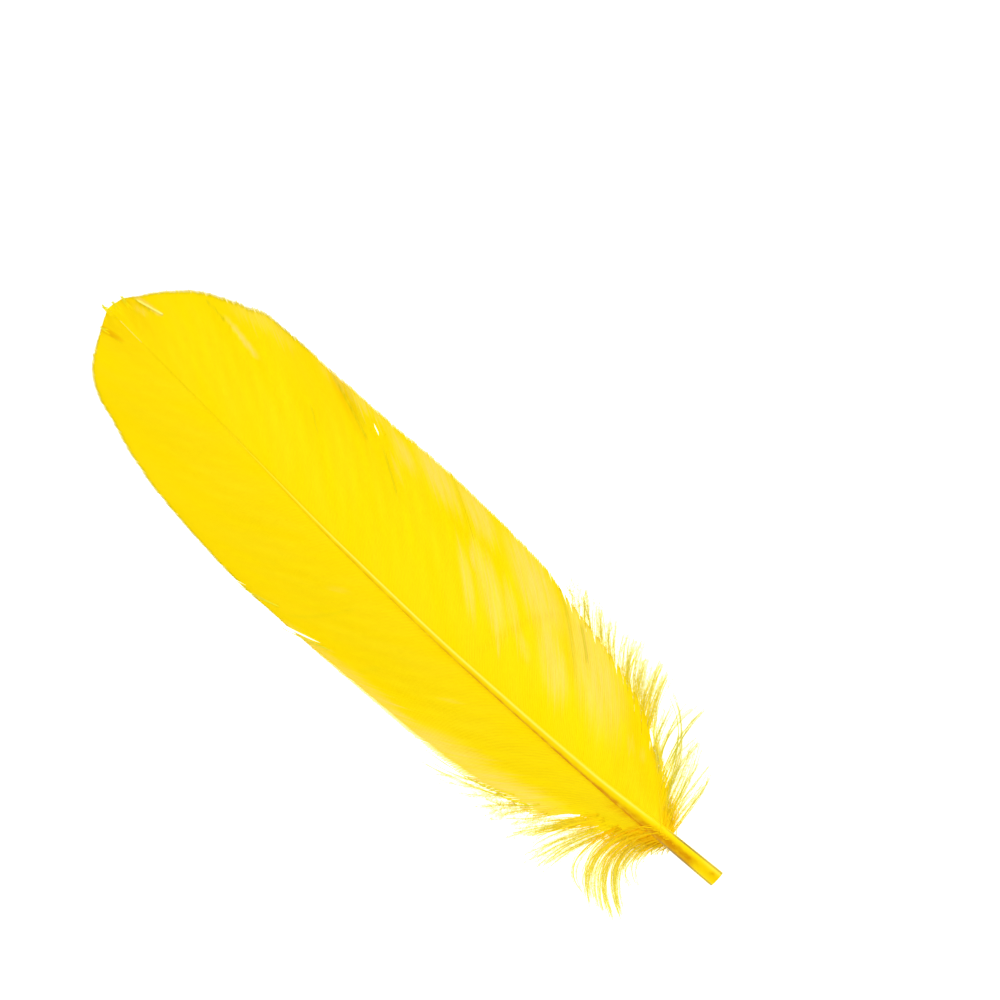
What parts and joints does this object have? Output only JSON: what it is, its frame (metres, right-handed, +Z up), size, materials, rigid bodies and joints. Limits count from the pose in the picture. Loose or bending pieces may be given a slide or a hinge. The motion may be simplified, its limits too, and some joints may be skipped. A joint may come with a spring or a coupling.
{
  "type": "goose quill feather",
  "caption": "Dyed goose quill feather: a short bare hollow quill, a long curved shaft, two broad vanes with a rounded tip, and loose downy barbs at the base.",
  "frame": {"origin": "middle of the underside of the feather's bounding box, on the surface it lies on", "axes": "+Y from the quill's cut end to the tip, +X towards the wider vane, +Z up through the rounded back of the feather"},
  "size_m": [0.0488, 0.168, 0.005],
  "materials": {
    "vane": "matte with a faint silky sheen along the barbs, dyed bright yellow, paler where the web is thin",
    "quill": "smooth horn with a soft gloss, dyed deep yellow, amber at the base",
    "down": "soft, matte, fine loose barbs dyed pale to deep yellow"
  },
  "bodies": {
    "root": {"feather": "vane"}
  },
  "joints": []
}
